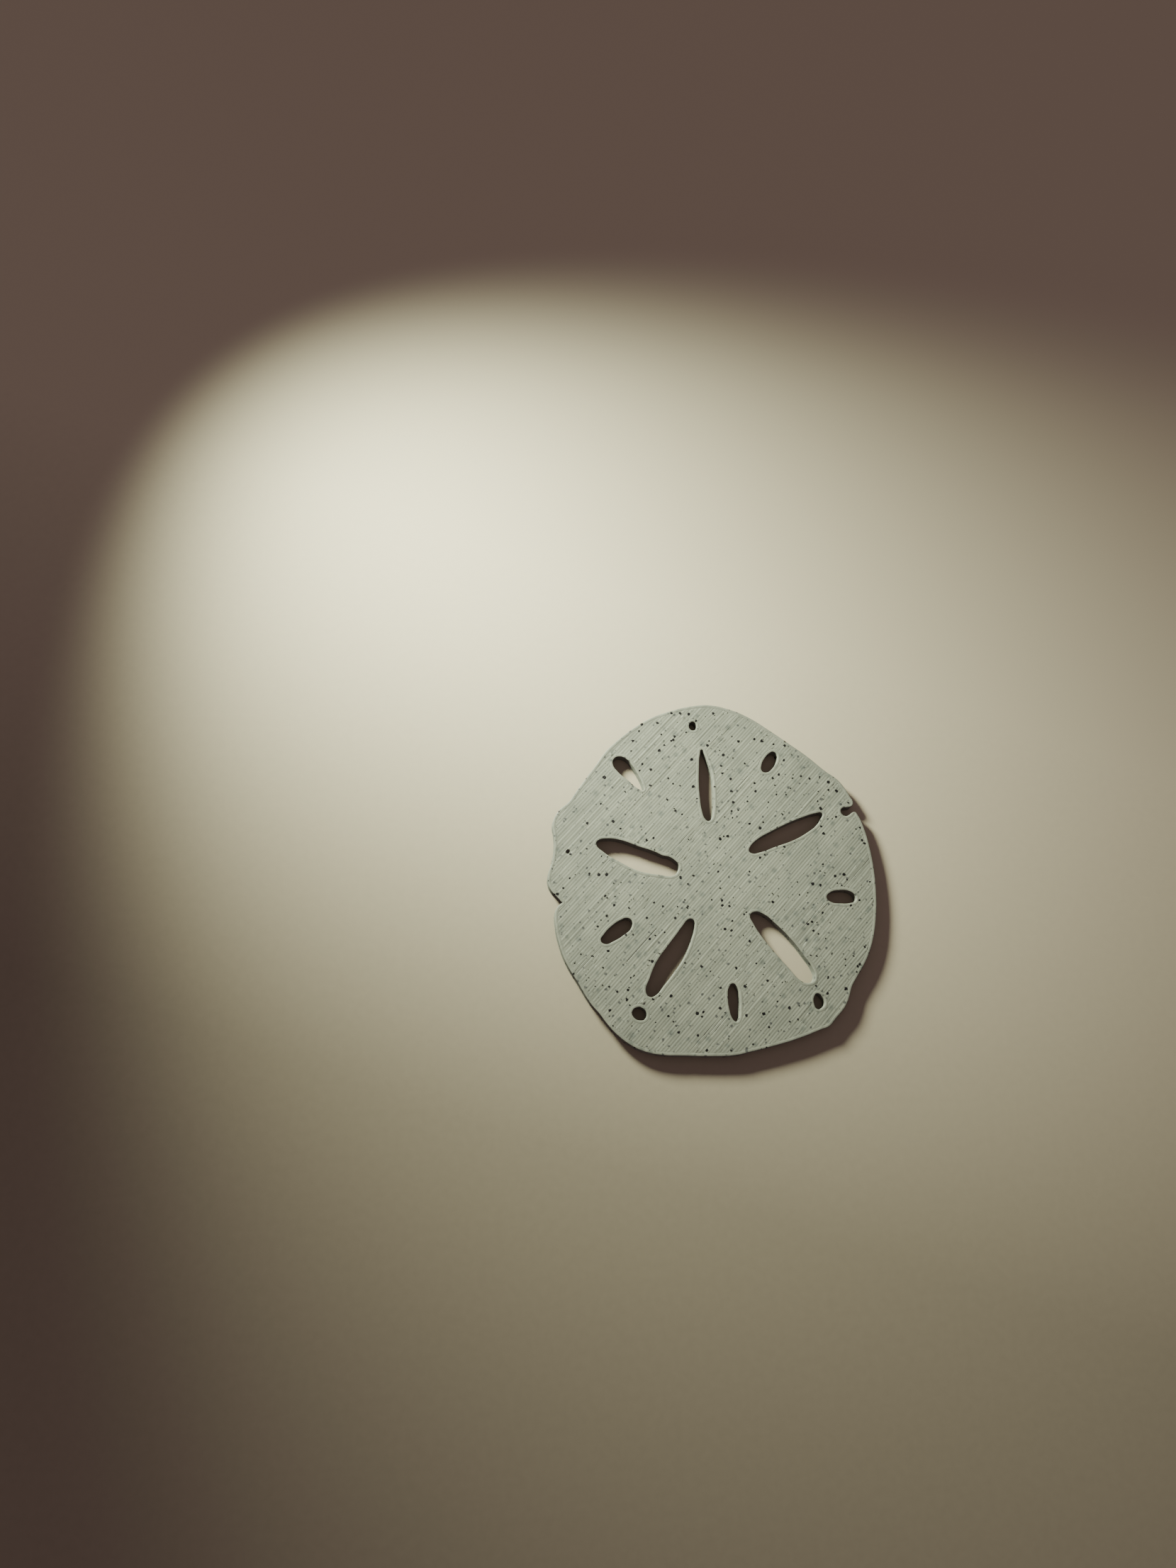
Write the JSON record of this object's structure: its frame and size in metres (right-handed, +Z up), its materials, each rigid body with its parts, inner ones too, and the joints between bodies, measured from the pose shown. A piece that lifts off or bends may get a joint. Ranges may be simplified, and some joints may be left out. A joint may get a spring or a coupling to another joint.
{
  "type": "printed sand dollar plate",
  "caption": "Flat printed plate in the form of a keyhole sand dollar, with petal slots, keyhole slots, small pores and a notched rim.",
  "frame": {"origin": "centre of the outline's bounding box, on the flat underside", "axes": "+Z up through the thickness, +Y towards the rim end with the upright petal slot and its pore, +X towards the keyhole notch"},
  "size_m": [0.047, 0.0508, 0.0016],
  "materials": {
    "filament": "matt, pale grey-green with fine black specks, printed in fine parallel lines"
  },
  "bodies": {
    "root": {"sand_dollar": "filament"}
  },
  "joints": []
}
